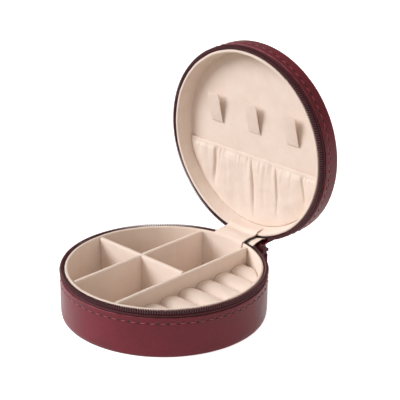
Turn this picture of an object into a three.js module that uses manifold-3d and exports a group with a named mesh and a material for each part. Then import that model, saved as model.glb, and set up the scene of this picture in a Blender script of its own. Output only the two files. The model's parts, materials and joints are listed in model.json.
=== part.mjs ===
// Round zip-up leather jewellery case, standing open.
// Millimetres, +Z up. The origin is the centre of the underside. The hinge is at the back (+Y),
// the ring rolls are on the right (+X). Lid pieces are drawn in lid coordinates: z = 0 at the
// lid's rim, z grows towards the lid's top, and +Y is the hinge side, as in the closed case.
import * as THREE from 'three';
import { mergeVertices } from 'three/addons/utils/BufferGeometryUtils.js';
import Module from 'manifold-3d';

const wasm = await Module();
wasm.setup();

// Driving dimensions.
const caseRadius = 57.5;
const baseRimHeight = 28;
const lidDepth = 15.6;
const zipBand = 4.7;            // tape and coil that stand above each leather edge
const rimGap = 0.5;             // between the two zip rims when closed
const openAngle = 88.5;         // degrees from closed to the open stop
const pivot = new THREE.Vector2(59, 23);   // hinge fold: y and z
const sideSegments = 48;
const clearance = 0.3;

const leather = 0.9;
const tape = 0.5;
const sideBoard = 1.2;
const sideLining = 1.4;
const bottomBoard = 2;
const edgeRadius = 1.4;

const dividerHeight = 27.3;
const dividerThickness = 2.8;
const ringWallX = 15;
const longDividerX = -19.6;
const crossDividerY = 1.3;

const rollCount = 7;
const rollPitch = 14;
const rollRadius = 6.8;

const zipLeftEnd = 12;          // degrees from the hinge centre line to each end of the zip
const zipRightEnd = 20;
const strapLeft = 13.5;
const strapRight = 19;
const stripHalfWidth = 10.2;

const panelDepth = 10.6;
const hookSpacing = 29;
const hookWidth = 8.5;
const hookLength = 16.5;
const hookFoot = 4.5;           // sewn end of a hook tab above the lid's centre line
const hookStandOff = 4.8;
const pocketTop = -10;          // pocket edge below the lid's centre line
const pocketDepth = 3.4;
const elasticWidth = 3.3;

const sliderPark = 24.5;        // degrees from the hinge centre line to the parked slider
const sliderLength = 6.4;
const sliderHeight = 4;
const sliderPlate = 1.6;
const pullLength = 12;
const pullWidth = 4.4;
const pullThickness = 0.8;
const pullEye = 0.95;           // radius of the eye round the slider's bar
const barRadius = 0.4;
const coilDepth = 2.2;          // size of the zip's coil across the rim
const coilSet = 0.1;            // coil set back from the leather's face
const edgeBevel = 0.3;          // share of the edge radius taken by each edge facet
const topCrown = 0.5;           // rise of the lid's top leather
const crownShare = 0.8;         // share of the lid's radius that is fully raised
const topPadding = 0.8;
const panelThickness = 1.3;
const hookThickness = 1.1;
const strapLow = 14;            // lower end of the hinge strap on the base
const strapLidEnd = 12.5;       // its other end, in lid coordinates
const stripThickness = 0.9;
const stripSag = 0.4;

// Derived radii, outside to inside.
const tapeOuter = caseRadius - leather - clearance;
const boardOuter = tapeOuter - tape - clearance;
const liningOuter = boardOuter - sideBoard - clearance;
const innerRadius = liningOuter - sideLining;
const coilOuter = caseRadius - coilSet;
const coilInner = coilOuter - coilDepth;
const coilHeight = 2.5;
const lipOuter = coilInner - clearance;
const lipHeight = 1.2;
const leatherHeight = baseRimHeight - zipBand;
const tapeTuck = 5;             // tape hidden behind the leather edge
const lidRimHeight = baseRimHeight + rimGap;
const bottomBoardTop = leather + clearance + bottomBoard;
const floorPad = 1.6;
const floorTop = bottomBoardTop + clearance + floorPad;

const materials = {
  leather: new THREE.MeshStandardMaterial({ color: 0x6b2733, roughness: 0.45, metalness: 0 }),
  lining: new THREE.MeshStandardMaterial({ color: 0xe6cdbb, roughness: 0.95, metalness: 0 }),
  board: new THREE.MeshStandardMaterial({ color: 0x9a8a76, roughness: 0.9, metalness: 0 }),
  foam: new THREE.MeshStandardMaterial({ color: 0xd9d6cc, roughness: 1, metalness: 0 }),
  tape: new THREE.MeshStandardMaterial({ color: 0x4a1a24, roughness: 0.9, metalness: 0 }),
  coil: new THREE.MeshStandardMaterial({ color: 0x2c1216, roughness: 0.4, metalness: 0 }),
  elastic: new THREE.MeshStandardMaterial({ color: 0xd9c2b0, roughness: 0.9, metalness: 0 }),
  metal: new THREE.MeshStandardMaterial({ color: 0xb08d57, roughness: 0.3, metalness: 1 }),
};

const model = new THREE.Group();
const lidPivot = new THREE.Group();
lidPivot.position.set(0, pivot.x, pivot.y);
lidPivot.rotation.x = -THREE.MathUtils.degToRad(openAngle);
const lid = new THREE.Group();
lid.position.set(0, -pivot.x, lidRimHeight - pivot.y);
lidPivot.add(lid);
model.add(lidPivot);

function addPiece(parent, name, geometry, material) {
  const mesh = new THREE.Mesh(geometry, material);
  mesh.name = name;
  parent.add(mesh);
  return mesh;
}

// Solids.
function toSolid(geometry) {
  const plain = geometry.clone();
  plain.deleteAttribute('normal');
  plain.deleteAttribute('uv');
  const merged = mergeVertices(plain, 1e-4);
  return new wasm.Manifold(new wasm.Mesh({
    numProp: 3,
    vertProperties: new Float32Array(merged.attributes.position.array),
    triVerts: new Uint32Array(merged.index.array),
  }));
}

function toGeometry(solid) {
  const mesh = solid.getMesh();
  const geometry = new THREE.BufferGeometry();
  geometry.setAttribute('position', new THREE.BufferAttribute(mesh.vertProperties, 3));
  geometry.setIndex(new THREE.BufferAttribute(mesh.triVerts, 1));
  return geometry;
}

const intersect = (a, b) => toGeometry(toSolid(a).intersect(toSolid(b)));
const subtract = (a, b) => toGeometry(toSolid(a).subtract(toSolid(b)));
const join = (a, b) => toGeometry(toSolid(a).add(toSolid(b)));

// A body of revolution about Z. The outline is a list of [radius, height], run anticlockwise.
function turned(outline) {
  const points = outline.map(([radius, height]) => new THREE.Vector2(radius, height));
  const geometry = new THREE.LatheGeometry(points, sideSegments);
  geometry.rotateX(Math.PI / 2);
  return geometry;
}

function ring(inner, outer, low, high) {
  return turned([[inner, low], [outer, low], [outer, high], [inner, high], [inner, low]]);
}

function disc(radius, low, high) {
  return turned([[0, low], [radius, low], [radius, high], [0, high]]);
}

function block(lowX, highX, lowY, highY, lowZ, highZ) {
  const geometry = new THREE.BoxGeometry(highX - lowX, highY - lowY, highZ - lowZ);
  geometry.translate((lowX + highX) / 2, (lowY + highY) / 2, (lowZ + highZ) / 2);
  return geometry;
}

// The stretch of a ring that the zip covers: all of it but a wedge at the hinge.
function zipStretch(ringGeometry) {
  const reach = caseRadius * 2;
  const wedge = new THREE.Shape();
  wedge.moveTo(0, 0);
  for (const degrees of [zipRightEnd, 0, -zipLeftEnd]) {
    const angle = THREE.MathUtils.degToRad(degrees);
    wedge.lineTo(reach * Math.sin(angle), reach * Math.cos(angle));
  }
  wedge.closePath();
  const cutter = new THREE.ExtrudeGeometry(wedge, { depth: reach, bevelEnabled: false });
  cutter.translate(0, 0, -reach / 2);
  return subtract(ringGeometry, cutter);
}

// A thin sheet bent in space: place(u, v, w) takes u and v from 0 to 1 and w across the
// thickness from -0.5 to 0.5, and gives the point.
function bentSheet(stepsU, stepsV, place) {
  const geometry = new THREE.BoxGeometry(1, 1, 1, stepsU, stepsV, 1);
  const position = geometry.attributes.position;
  for (let i = 0; i < position.count; i += 1) {
    const point = place(position.getX(i) + 0.5, position.getY(i) + 0.5, position.getZ(i));
    position.setXYZ(i, point.x, point.y, point.z);
  }
  return geometry;
}

// Shells shared by the base and the lid.
// rimward = 1 where the rim is at the top of the outline (base), -1 where it is at z = 0 (lid).
function zipTape(rim, rimward) {
  const top = rim - rimward * (coilHeight + clearance);
  const bottom = rim - rimward * (zipBand + tapeTuck);
  return zipStretch(ring(tapeOuter - tape, tapeOuter, Math.min(top, bottom), Math.max(top, bottom)));
}

function zipCoil(rim, rimward) {
  const corner = 0.5;
  const low = Math.min(rim, rim - rimward * coilHeight);
  const high = low + coilHeight;
  return zipStretch(turned([
    [coilInner + corner, low], [coilOuter - corner, low], [coilOuter, low + corner],
    [coilOuter, high - corner], [coilOuter - corner, high], [coilInner + corner, high],
    [coilInner, high - corner], [coilInner, low + corner], [coilInner + corner, low],
  ]));
}

// Small crimped stop at the right-hand end of a coil.
function zipStop(rim, rimward) {
  const length = 1.6;
  const low = Math.min(rim, rim - rimward * coilHeight);
  const stop = block(-length / 2, length / 2, coilInner, coilOuter, low, low + coilHeight);
  const beyond = THREE.MathUtils.radToDeg((length / 2 + clearance) / caseRadius);
  stop.rotateZ(-THREE.MathUtils.degToRad(zipRightEnd - beyond));
  return stop;
}

// Padded side lining whose lip rolls over the board's edge at the rim.
function liningRing(rim, rimward, far) {
  const corner = 0.6;
  const under = rim - rimward * lipHeight;
  const outline = [
    [innerRadius, far], [liningOuter, far], [liningOuter, under], [lipOuter, under],
    [lipOuter, rim - rimward * corner], [lipOuter - corner, rim], [innerRadius + corner, rim],
    [innerRadius, rim - rimward * corner], [innerRadius, far],
  ];
  return turned(rimward > 0 ? outline : outline.reverse());
}

// Base.
function buildBase() {
  const foot = caseRadius - edgeRadius - leather;
  const bevel = edgeRadius * edgeBevel;
  const bandOutline = [
    [foot, 0], [caseRadius - edgeRadius, 0], [caseRadius - bevel, bevel], [caseRadius, edgeRadius],
    [caseRadius, leatherHeight], [caseRadius - leather, leatherHeight],
    [caseRadius - leather, edgeRadius], [foot, leather], [foot, 0],
  ];
  addPiece(model, 'base_leather_band', turned(bandOutline), materials.leather);
  addPiece(model, 'base_bottom_leather', disc(foot - clearance, 0, leather), materials.leather);
  const boardLow = leather + clearance;
  const boardHigh = baseRimHeight - coilHeight - clearance;
  addPiece(model, 'base_side_board', ring(boardOuter - sideBoard, boardOuter, boardLow, boardHigh), materials.board);
  const boardRadius = boardOuter - sideBoard - clearance;
  addPiece(model, 'base_bottom_board', disc(boardRadius, boardLow, bottomBoardTop), materials.board);
  const padLow = bottomBoardTop + clearance;
  addPiece(model, 'base_side_lining', liningRing(baseRimHeight, 1, padLow), materials.lining);
  addPiece(model, 'base_floor_pad', disc(innerRadius - clearance, padLow, floorTop), materials.lining);
  addPiece(model, 'zip_tape_base', zipTape(baseRimHeight, 1), materials.tape);
  addPiece(model, 'zip_coil_base', zipCoil(baseRimHeight, 1), materials.coil);
  addPiece(model, 'zip_stop_base', zipStop(baseRimHeight, 1), materials.metal);
}

// Dividers: covered card, half-lapped where they cross.
function buildDividers() {
  const low = floorTop + clearance;
  const half = dividerThickness / 2;
  const inside = disc(innerRadius - clearance, low, dividerHeight);
  const reach = caseRadius;
  const middle = (low + dividerHeight) / 2;

  const ringWall = block(ringWallX - half, ringWallX + half, -reach, reach, low, dividerHeight);
  addPiece(model, 'ring_wall', intersect(ringWall, inside), materials.lining);

  const slotHalf = half + clearance;
  const longBlock = block(longDividerX - half, longDividerX + half, -reach, reach, low, dividerHeight);
  const upperSlot = block(
    longDividerX - reach, longDividerX + reach, crossDividerY - slotHalf, crossDividerY + slotHalf,
    middle - clearance / 2, dividerHeight + reach,
  );
  addPiece(model, 'long_divider', subtract(intersect(longBlock, inside), upperSlot), materials.lining);

  const crossBlock = block(
    -reach, ringWallX - half - clearance, crossDividerY - half, crossDividerY + half, low, dividerHeight,
  );
  const lowerSlot = block(
    longDividerX - slotHalf, longDividerX + slotHalf, -reach, reach, low - reach, middle + clearance / 2,
  );
  addPiece(model, 'cross_divider', subtract(intersect(crossBlock, inside), lowerSlot), materials.lining);
}

// Ring rolls: soft rolls side by side, each running from the ring wall to the side lining.
function buildRings() {
  const rollSides = 16;
  const startX = ringWallX + dividerThickness / 2 + clearance;
  const length = innerRadius;
  const centreZ = floorTop + clearance + rollRadius;
  const inside = disc(innerRadius - clearance, floorTop, baseRimHeight);
  for (let i = 0; i < rollCount; i += 1) {
    const roll = new THREE.CylinderGeometry(rollRadius, rollRadius, length, rollSides);
    roll.rotateZ(Math.PI / 2);
    roll.translate(startX + length / 2, (i - (rollCount - 1) / 2) * rollPitch, centreZ);
    addPiece(model, `ring_roll_${i + 1}`, intersect(roll, inside), materials.lining);
  }
}

// Lid.
function buildLid() {
  const flat = lidDepth - leather;
  const bevel = edgeRadius * edgeBevel;
  const bandOutline = [
    [caseRadius - leather, zipBand], [caseRadius, zipBand], [caseRadius, lidDepth - edgeRadius],
    [caseRadius - bevel, lidDepth - bevel], [caseRadius - edgeRadius, lidDepth],
    [caseRadius - edgeRadius - leather, lidDepth], [caseRadius - edgeRadius - leather, flat],
    [caseRadius - leather, lidDepth - edgeRadius], [caseRadius - leather, zipBand],
  ];
  addPiece(lid, 'lid_leather_band', turned(bandOutline), materials.leather);
  const topRadius = caseRadius - edgeRadius - leather - clearance;
  const topLeather = turned([
    [0, flat], [topRadius, flat], [topRadius, lidDepth], [topRadius * crownShare, lidDepth + topCrown],
    [0, lidDepth + topCrown],
  ]);
  addPiece(lid, 'lid_top_leather', topLeather, materials.leather);

  const padHigh = flat - clearance;
  const padLow = padHigh - topPadding;
  addPiece(lid, 'lid_top_padding', disc(boardOuter - clearance, padLow, padHigh), materials.foam);
  const boardHigh = padLow - clearance;
  const panelHigh = panelDepth + panelThickness;
  const boardLow = panelHigh + clearance;
  addPiece(lid, 'lid_top_board', disc(boardOuter, boardLow, boardHigh), materials.board);
  const sideLow = coilHeight + clearance;
  const sideHigh = boardLow - clearance;
  addPiece(lid, 'lid_side_board', ring(boardOuter - sideBoard, boardOuter, sideLow, sideHigh), materials.board);
  addPiece(lid, 'lid_side_lining', liningRing(0, -1, panelHigh), materials.lining);
  addPiece(lid, 'lid_panel', disc(innerRadius - clearance, panelDepth, panelHigh), materials.lining);
  addPiece(lid, 'zip_tape_lid', zipTape(0, -1), materials.tape);
  addPiece(lid, 'zip_coil_lid', zipCoil(0, -1), materials.coil);
  addPiece(lid, 'zip_stop_lid', zipStop(0, -1), materials.metal);
}

// Fabric tab sewn to the panel at its foot; its free end stands off the panel and points away
// from the hinge, so that a chain can hang behind it.
function hookTab(centreX) {
  const foot = panelDepth - clearance - hookThickness / 2;
  return bentSheet(1, 6, (u, v, w) => new THREE.Vector3(
    centreX + (u - 0.5) * hookWidth,
    -hookFoot - v * hookLength,
    foot - hookStandOff * Math.sin(v * Math.PI / 2) - w * hookThickness,
  ));
}

// Gathered pocket across the lid's lower part, drawn up by an elastic along its top edge.
function buildLidFittings() {
  for (const [index, side] of [-1, 0, 1].entries()) {
    addPiece(lid, `hook_tab_${index + 1}`, hookTab(side * hookSpacing), materials.lining);
  }
  const inside = disc(innerRadius - clearance * 2, 0, panelDepth - clearance);
  const reach = caseRadius;
  const high = panelDepth - clearance;
  const seam = -pocketTop + elasticWidth;
  const pocket = block(-reach, reach, seam + clearance, reach, high - pocketDepth, high);
  addPiece(lid, 'lid_pocket', intersect(pocket, inside), materials.lining);
  const elasticFront = high - pocketDepth * 3 / 4;
  const elasticBack = high - pocketDepth / 4;
  const elastic = block(-reach, reach, -pocketTop, seam, elasticFront, elasticBack);
  addPiece(lid, 'pocket_elastic', intersect(elastic, inside), materials.elastic);
}

// Hinge: an outer leather strap and an inner strip of lining, both bending at the fold.
// Point of the open lid from lid coordinates.
function fromLid(x, y, z) {
  const point = new THREE.Vector3(x, y - pivot.x, z + lidRimHeight - pivot.y);
  point.applyAxisAngle(new THREE.Vector3(1, 0, 0), lidPivot.rotation.x);
  return point.add(lidPivot.position);
}

function hingeStrap() {
  const foldZ = leatherHeight - leather;
  const lidStart = zipBand + clearance;
  return bentSheet(12, 12, (u, v, w) => {
    const x = strapRight - u * (strapRight + strapLeft);
    const radius = caseRadius + clearance + leather * (0.5 + w) + clearance / 2;
    const y = Math.sqrt(radius * radius - x * x);
    const fold = 1 / 3;
    const landing = 2 / 3;
    const onBase = new THREE.Vector3(x, y, foldZ);
    const onLid = fromLid(x, y, lidStart);
    if (v <= fold) return onBase.setZ(strapLow + (foldZ - strapLow) * v / fold);
    if (v >= landing) return fromLid(x, y, lidStart + (strapLidEnd - lidStart) * (v - landing) / (1 - landing));
    return onBase.lerp(onLid, (v - fold) / (landing - fold));
  });
}

function hingeLiningStrip() {
  const low = baseRimHeight + clearance + stripThickness / 2;
  const startRadius = innerRadius + clearance;
  const flatShare = 1 / 3;      // part of the strip that lies on the base's lip
  return bentSheet(8, 6, (u, v, w) => {
    const x = (u * 2 - 1) * stripHalfWidth;
    const start = Math.sqrt(startRadius * startRadius - x * x);
    const end = fromLid(x, caseRadius, 0).y - clearance * 2;
    const dip = v > flatShare ? stripSag * Math.sin(v * Math.PI) : 0;
    return new THREE.Vector3(x, start + (end - start) * v, low + stripSag - dip + w * stripThickness);
  });
}

function buildHinge() {
  addPiece(model, 'hinge_strap', hingeStrap(), materials.leather);
  addPiece(model, 'hinge_lining_strip', hingeLiningStrip(), materials.lining);
}

// Zip slider and its pull, drawn at the middle of the back and turned to their place.
function buildSlider() {
  const track = new THREE.Group();
  track.rotation.z = -THREE.MathUtils.degToRad(sliderPark);
  model.add(track);
  const face = coilOuter + clearance * 3;
  const middle = baseRimHeight + rimGap / 2;
  const barY = face + sliderPlate + pullEye + clearance;
  addPiece(track, 'slider_body', sliderBody(face, middle, barY), materials.metal);
  addPiece(track, 'slider_pull', sliderPull(middle, barY), materials.metal);
}

// A cylinder along X.
function crossBar(radius, length, y, z) {
  const sides = 12;
  const bar = new THREE.CylinderGeometry(radius, radius, length, sides);
  bar.rotateZ(Math.PI / 2);
  bar.translate(0, y, z);
  return bar;
}

// Plate with two ears that hold the bar. Its inner face leans outwards above the base's coil,
// so that the lid's rim swings past.
function sliderBody(face, middle, barY) {
  const back = face + sliderPlate;
  const half = sliderHeight / 2;
  const chamfer = 0.4;
  const lean = 1.1;
  const outline = new THREE.Shape();
  outline.moveTo(face, middle - half);
  outline.lineTo(back, middle - half);
  outline.lineTo(back, middle + half - chamfer);
  outline.lineTo(back - chamfer, middle + half);
  outline.lineTo(face + lean, middle + half);
  outline.lineTo(face, middle);
  outline.closePath();
  const plate = new THREE.ExtrudeGeometry(outline, { depth: sliderLength, bevelEnabled: false });
  plate.translate(0, 0, -sliderLength / 2);
  // the outline's plane is Y-Z, and it is extruded along X
  plate.applyMatrix4(new THREE.Matrix4().makeBasis(
    new THREE.Vector3(0, 1, 0), new THREE.Vector3(0, 0, 1), new THREE.Vector3(1, 0, 0),
  ));
  const earWidth = 0.8;
  const earHalfHeight = 0.9;
  const root = 0.4;             // how far each ear runs into the plate
  const inside = pullWidth / 4 + clearance;
  let body = plate;
  for (const side of [-1, 1]) {
    const middleX = side * (inside + earWidth / 2);
    const ear = block(
      middleX - earWidth / 2, middleX + earWidth / 2, back - root, barY + earHalfHeight,
      middle - earHalfHeight, middle + earHalfHeight,
    );
    body = join(body, ear);
  }
  return join(body, crossBar(barRadius, inside * 2 + earWidth, barY, middle));
}

// Eye round the bar, a neck, and the plate that hangs from it.
function sliderPull(middle, barY) {
  const eyeWidth = pullWidth / 2;
  const half = pullThickness / 2;
  const shoulder = 2.6;         // top of the wide plate below the bar
  const eye = crossBar(pullEye, eyeWidth, barY, middle);
  const neckTop = middle - pullEye / 2;
  const neckLow = middle - shoulder - pullThickness;
  const neck = block(-eyeWidth / 2, eyeWidth / 2, barY - half, barY + half, neckLow, neckTop);
  const plateBottom = middle - pullLength;
  const plate = block(-pullWidth / 2, pullWidth / 2, barY - half, barY + half, plateBottom, middle - shoulder);
  const hole = crossBar(barRadius + clearance, pullWidth, barY, middle);
  return subtract(join(join(eye, neck), plate), hole);
}

buildBase();
buildDividers();
buildRings();
buildLid();
buildLidFittings();
buildHinge();
buildSlider();

export default model;
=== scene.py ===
import bpy
import bmesh
import json
import math
import random
from mathutils import Matrix, Vector, noise


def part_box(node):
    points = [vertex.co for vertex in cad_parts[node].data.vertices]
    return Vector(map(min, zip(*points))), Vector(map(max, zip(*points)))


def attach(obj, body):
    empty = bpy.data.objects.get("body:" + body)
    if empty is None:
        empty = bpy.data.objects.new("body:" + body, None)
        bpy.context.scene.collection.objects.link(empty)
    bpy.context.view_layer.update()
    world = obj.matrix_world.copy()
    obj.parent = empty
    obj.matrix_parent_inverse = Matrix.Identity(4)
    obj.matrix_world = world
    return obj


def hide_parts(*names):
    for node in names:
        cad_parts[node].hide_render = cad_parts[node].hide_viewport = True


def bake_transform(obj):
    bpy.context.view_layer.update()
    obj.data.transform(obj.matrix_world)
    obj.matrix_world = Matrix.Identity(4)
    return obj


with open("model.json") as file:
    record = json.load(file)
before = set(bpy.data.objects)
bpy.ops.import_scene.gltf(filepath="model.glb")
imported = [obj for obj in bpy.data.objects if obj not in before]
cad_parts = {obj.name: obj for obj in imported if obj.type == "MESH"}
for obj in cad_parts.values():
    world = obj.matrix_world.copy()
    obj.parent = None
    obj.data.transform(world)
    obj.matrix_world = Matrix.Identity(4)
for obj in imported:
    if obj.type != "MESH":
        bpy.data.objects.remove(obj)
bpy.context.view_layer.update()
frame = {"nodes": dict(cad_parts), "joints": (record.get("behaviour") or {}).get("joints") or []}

mm = 0.001
print("frame loaded:", len(frame["nodes"]), "nodes")

# places taken from the frame
hinge = next(j for j in frame["joints"] if j["name"] == "lid_hinge")
pivot = Vector(hinge["pos_m"])
openAngle = math.radians(max(hinge["range_deg"]))
# lid pieces are drawn as in the closed case, and this turns them to the open lid
openTurn = Matrix.Translation(pivot) @ Matrix.Rotation(-openAngle, 4, "X") @ Matrix.Translation(-pivot)
closeTurn = openTurn.inverted()
still = Matrix.Identity(4)
roundSteps = 288                           # columns of a piece that goes round the case


def closedBox(nodeName):
    points = [closeTurn @ v.co for v in frame["nodes"][nodeName].data.vertices]
    return (Vector([min(p[k] for p in points) for k in range(3)]),
            Vector([max(p[k] for p in points) for k in range(3)]))


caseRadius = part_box("base_leather_band")[1].x
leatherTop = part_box("base_leather_band")[1].z
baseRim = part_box("base_side_lining")[1].z
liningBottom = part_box("base_side_lining")[0].z
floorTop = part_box("base_floor_pad")[1].z
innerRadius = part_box("base_floor_pad")[1].x
lidRim = closedBox("lid_side_lining")[0].z
lidTop = closedBox("lid_leather_band")[1].z
lidLeatherLow = closedBox("lid_leather_band")[0].z
panelZ = closedBox("lid_panel")[0].z
zipRight = math.radians(70)                # where the zip ends, as turned from +X
zipLeft = math.radians(103)


# mesh helpers
def link(name, mesh):
    obj = bpy.data.objects.new(name, mesh)
    bpy.context.scene.collection.objects.link(obj)
    return obj


def finishMesh(obj, sharpAngle=48):
    bm = bmesh.new()
    bm.from_mesh(obj.data)
    bmesh.ops.remove_doubles(bm, verts=bm.verts, dist=1e-7)
    bmesh.ops.dissolve_degenerate(bm, edges=bm.edges, dist=1e-8)
    bmesh.ops.recalc_face_normals(bm, faces=bm.faces)
    bm.to_mesh(obj.data)
    bm.free()
    obj.data.shade_smooth()
    obj.data.set_sharp_from_angle(angle=math.radians(sharpAngle))
    return obj


def gridMesh(name, points, flat, wrapU=False, wrapV=False, caps=False):
    # points[i][j] is a net of places, flat(i, j) its place on the piece's own UV map
    countU, countV = len(points), len(points[0])
    vertices = [p for row in points for p in row]
    faces, spots = [], []
    for i in range(countU if wrapU else countU - 1):
        for j in range(countV if wrapV else countV - 1):
            i2, j2 = (i + 1) % countU, (j + 1) % countV
            faces.append((i * countV + j, i2 * countV + j, i2 * countV + j2, i * countV + j2))
            spots += [flat(i, j), flat(i + 1, j), flat(i + 1, j + 1), flat(i, j + 1)]
    if caps:   # close both ends of a tube
        for i in (0, countU - 1):
            faces.append(tuple(i * countV + j for j in range(countV)))
            spots += [flat(i, j) for j in range(countV)]
    mesh = bpy.data.meshes.new(name)
    mesh.from_pydata(vertices, [], faces)
    layer = mesh.uv_layers.new(name="flat")
    for loop, spot in zip(layer.data, spots):
        loop.uv = spot
    return link(name, mesh)


def turned(name, outline, turn=still, start=None, end=None, steps=roundSteps, closed=True, flat=None,
           wave=None):
    # a body of revolution about Z; start and end are angles from +X for a piece that stops at the hinge
    whole = start is None
    begin = 0 if whole else start
    sweep = 2 * math.pi if whole else end - start
    angles = [begin + sweep * i / steps for i in range(steps if whole else steps + 1)]
    lengths = [0]
    for (r1, z1), (r2, z2) in zip(outline, outline[1:] + outline[:1]):
        lengths.append(lengths[-1] + math.hypot(r2 - r1, z2 - z1))
    rows = []
    for a in angles:
        row = []
        for r, z in outline:
            if wave:
                r, z = wave(a, r, z)
            row.append(turn @ Vector((r * math.cos(a), r * math.sin(a), z)))
        rows.append(row)
    if flat is None:
        def flat(i, j):
            return ((begin + sweep * i / steps) * caseRadius, lengths[j])
    obj = gridMesh(name, rows, flat, wrapU=whole, wrapV=closed, caps=closed and not whole)
    return finishMesh(obj)


def rounded(corners, radius, steps=5):
    # the corners of a closed outline, each rounded off
    out = []
    radii = radius if isinstance(radius, list) else [radius] * len(corners)
    for k, (corner, size) in enumerate(zip(corners, radii)):
        here = Vector(corner)
        before, after = Vector(corners[k - 1]), Vector(corners[(k + 1) % len(corners)])
        if size <= 0:
            out.append(tuple(here))
            continue
        a, b = (before - here), (after - here)
        size = min(size, a.length * 0.49, b.length * 0.49)
        p, q = here + a.normalized() * size, here + b.normalized() * size
        for s in range(steps + 1):
            t = s / steps
            out.append(tuple(p * (1 - t) ** 2 + here * 2 * t * (1 - t) + q * t ** 2))
    return out


def rectangle(left, right, low, high):
    return [(left, low), (right, low), (right, high), (left, high)]


def subdivided(outline, spacing):
    # more corners along each straight part of a closed outline, so that the surface can be slightly uneven
    fine = []
    for (x1, y1), (x2, y2) in zip(outline, outline[1:] + outline[:1]):
        pieces = max(1, int(math.hypot(x2 - x1, y2 - y1) / spacing))
        fine += [(x1 + (x2 - x1) * k / pieces, y1 + (y2 - y1) * k / pieces) for k in range(pieces)]
    return fine


def relief(obj, amount, size, seed=0.0, detail=1):
    # gentle unevenness, as hand-made soft goods have
    shift = Vector((seed, seed * 1.7, -seed))
    mesh = obj.data
    normals = [v.normal.copy() for v in mesh.vertices]
    for v, n in zip(mesh.vertices, normals):
        push = noise.fractal(v.co / size + shift, 0.8, 2.0, detail)
        v.co += n * (push * amount)
    mesh.update()
    return obj


def applied(obj):
    graph = bpy.context.evaluated_depsgraph_get()
    mesh = bpy.data.meshes.new_from_object(obj.evaluated_get(graph))
    obj.modifiers.clear()
    obj.data = mesh
    return obj


def bevelledNode(nodeName, name, width, flatness=0.03, edgeAngle=40, sharpAngle=50):
    # a hard piece kept as the frame has it, with its edges rounded
    piece = link(name, frame["nodes"][nodeName].data.copy())
    bm = bmesh.new()
    bm.from_mesh(piece.data)
    bmesh.ops.remove_doubles(bm, verts=bm.verts, dist=1e-6)
    bmesh.ops.dissolve_limit(bm, angle_limit=flatness, verts=bm.verts, edges=bm.edges)
    bm.to_mesh(piece.data)
    bm.free()
    bevel = piece.modifiers.new("edge", "BEVEL")
    bevel.width, bevel.segments, bevel.limit_method = width, 3, "ANGLE"
    bevel.angle_limit = math.radians(edgeAngle)
    applied(piece)
    piece.data.shade_smooth()
    if sharpAngle:
        piece.data.set_sharp_from_angle(angle=math.radians(sharpAngle))
    return piece


def place(obj, body, slotName, material, *nodes):
    obj.data.materials.clear()
    obj.data.materials.append(material)
    if body:
        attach(obj, body)
    if nodes:
        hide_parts(*nodes)
    return obj


# materials
def tint(red, green, blue):
    def linear(c):
        c /= 255
        return c / 12.92 if c <= 0.04045 else ((c + 0.055) / 1.055) ** 2.4
    return (linear(red), linear(green), linear(blue), 1)


def newMaterial(name, **shader):
    material = bpy.data.materials.new(name)
    material.use_nodes = True
    tree = material.node_tree
    principled = tree.nodes["Principled BSDF"]
    for key, value in shader.items():
        principled.inputs[key.replace("_", " ")].default_value = value
    return material, tree, principled


def node(tree, kind, inputs=None, **settings):
    made = tree.nodes.new(kind)
    for key, value in settings.items():
        setattr(made, key, value)
    for key, value in (inputs or {}).items():
        socket = made.inputs[key]
        if hasattr(value, "is_output"):
            tree.links.new(value, socket)
        else:
            socket.default_value = value
    return made


def mathNode(tree, operation, a, b=0.0, c=0.0):
    return node(tree, "ShaderNodeMath", {0: a, 1: b, 2: c}, operation=operation).outputs[0]


def ramp(tree, value, low, high, toLow=0.0, toHigh=1.0):
    return node(tree, "ShaderNodeMapRange", {"Value": value, "From Min": low, "From Max": high,
                                             "To Min": toLow, "To Max": toHigh}).outputs["Result"]


def mixColour(tree, factor, a, b, blend="MIX"):
    made = node(tree, "ShaderNodeMix", data_type="RGBA", blend_type=blend)
    for socket, value in zip((made.inputs[0], made.inputs[6], made.inputs[7]), (factor, a, b)):
        if hasattr(value, "is_output"):
            tree.links.new(value, socket)
        else:
            socket.default_value = value
    return made.outputs[2]


def objectNoise(tree, where, scale, detail=2.0, rough=0.5):
    return node(tree, "ShaderNodeTexNoise", {"Vector": where, "Scale": scale, "Detail": detail,
                                             "Roughness": rough}).outputs["Fac"]


def bumpChain(tree, principled, *layers):
    # layers are (height, depth in metres, strength)
    last = None
    for height, depth, strength in layers:
        made = node(tree, "ShaderNodeBump", {"Height": height, "Distance": depth, "Strength": strength})
        if last is not None:
            tree.links.new(last, made.inputs["Normal"])
        last = made.outputs["Normal"]
    tree.links.new(last, principled.inputs["Normal"])


leatherLook = dict(
    # the lighter colour below serves the grain tone, worn edges and the painted highlight along the fold
    colour=tint(113, 29, 45), deep=tint(95, 20, 34), wearAndHighlight=tint(168, 96, 104),
    grain=0.75 * mm, roughness=0.40,
    stitchHoles=0.16, holeShade=tint(26, 6, 10),
    foldLine=0.57,   # where the folded edge turns over, in stitch lengths from the stitch line; the painted highlight along the fold starts here
    grooveHalf=0.16, poreSize=0.3 * mm, toneSize=18 * mm, foldPatchSize=5 * mm,
)


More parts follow.
